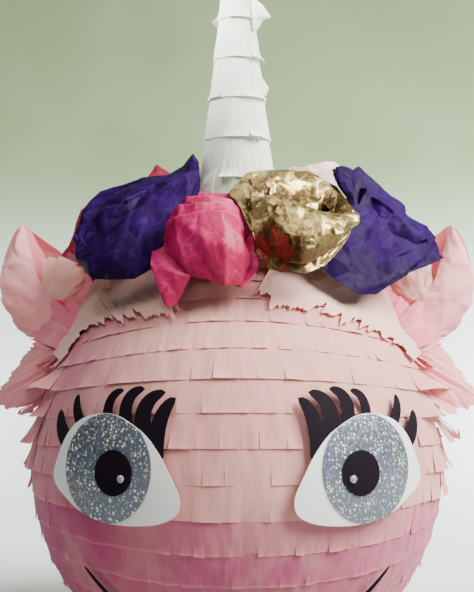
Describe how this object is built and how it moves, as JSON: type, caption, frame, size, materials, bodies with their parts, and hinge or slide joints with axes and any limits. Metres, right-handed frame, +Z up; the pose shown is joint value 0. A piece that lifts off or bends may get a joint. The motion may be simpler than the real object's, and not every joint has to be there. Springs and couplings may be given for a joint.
{
  "type": "pinata",
  "caption": "Unicorn-head party pinata: a hollow papier-mache ball covered in pink crepe fringe, with a white tiered horn, tissue roses, ears, card eyes and a filling flap at the back.",
  "frame": {"origin": "middle of the flat card disc that the head stands on, at its underside", "axes": "+Z up through the horn, -Y the way the face looks, +X to the left ear of the head, which is on the viewer's right"},
  "size_m": [0.454, 0.3932, 0.6635],
  "materials": {
    "papier_mache": "layered newsprint and paste, matt",
    "cardboard": "brown card, matt",
    "cotton_tape": "woven cotton, matt",
    "wire": "galvanised wire",
    "pink_crepe": "crepe paper, fine vertical grain, matt",
    "ear_crepe": "crepe paper folded over card, matt",
    "white_crepe": "crepe paper, fine vertical grain, matt",
    "pink_tissue": "glazed tissue paper, crumpled",
    "magenta_tissue": "glazed tissue paper, crumpled",
    "violet_tissue": "glazed tissue paper, crumpled",
    "blush_tissue": "tissue paper, crumpled",
    "gold_foil_tissue": "metallic gold tissue paper, crumpled",
    "white_card": "smooth white card, satin",
    "black_card": "smooth black card, satin",
    "holographic_film": "silver holographic film on card, sparkling",
    "crystal": "clear faceted rhinestone"
  },
  "bodies": {
    "head": {"papier_mache_head": "papier_mache", "base_disc": "cardboard", "flap_stop_rim": "cardboard", "hanging_anchor_disc": "cardboard", "horn_cone": "cardboard", "flap_hinge_tape": "cotton_tape", "hanging_loop": "wire", "rose_pink": "pink_tissue", "rose_gold": "gold_foil_tissue", "rose_violet_left": "violet_tissue", "rose_violet_right": "violet_tissue", "rose_magenta": "magenta_tissue", "rose_blush": "blush_tissue", "smile": "black_card", "crepe_row_01": "pink_crepe", "crepe_row_02": "pink_crepe", "crepe_row_03": "pink_crepe", "crepe_row_04": "pink_crepe", "crepe_row_05": "pink_crepe", "crepe_row_06": "pink_crepe", "crepe_row_07": "pink_crepe", "crepe_row_08": "pink_crepe", "crepe_row_09": "pink_crepe", "crepe_row_10": "pink_crepe", "crepe_row_11": "pink_crepe", "crepe_row_12": "pink_crepe", "crepe_row_13": "pink_crepe", "crepe_row_14": "pink_crepe", "crepe_row_15": "pink_crepe", "crepe_row_16": "pink_crepe", "horn_tier_1": "white_crepe", "horn_tier_2": "white_crepe", "horn_tier_3": "white_crepe", "horn_tier_4": "white_crepe", "horn_tier_5": "white_crepe", "horn_tier_6": "white_crepe", "horn_tier_7": "white_crepe", "horn_tier_8": "white_crepe", "ear_card_left": "ear_crepe", "ear_lining_left": "ear_crepe", "ear_ruffle_left": "ear_crepe", "eye_white_left": "white_card", "iris_left": "holographic_film", "pupil_left": "black_card", "gem_left": "crystal", "lashes_inner_left": "black_card", "lashes_outer_left": "black_card", "ear_card_right": "ear_crepe", "ear_lining_right": "ear_crepe", "ear_ruffle_right": "ear_crepe", "eye_white_right": "white_card", "iris_right": "holographic_film", "pupil_right": "black_card", "gem_right": "crystal", "lashes_inner_right": "black_card", "lashes_outer_right": "black_card"},
    "filling_flap": {"fill_flap": "papier_mache", "flap_crepe_1": "pink_crepe", "flap_crepe_2": "pink_crepe", "flap_crepe_3": "pink_crepe"}
  },
  "joints": [
    {"name": "filling_flap_hinge", "type": "hinge", "parent": "head", "child": "filling_flap", "pos_m": [0, 0.16569, 0.26626], "axis": [1, 0, 0], "range_deg": [0, 85]}
  ]
}
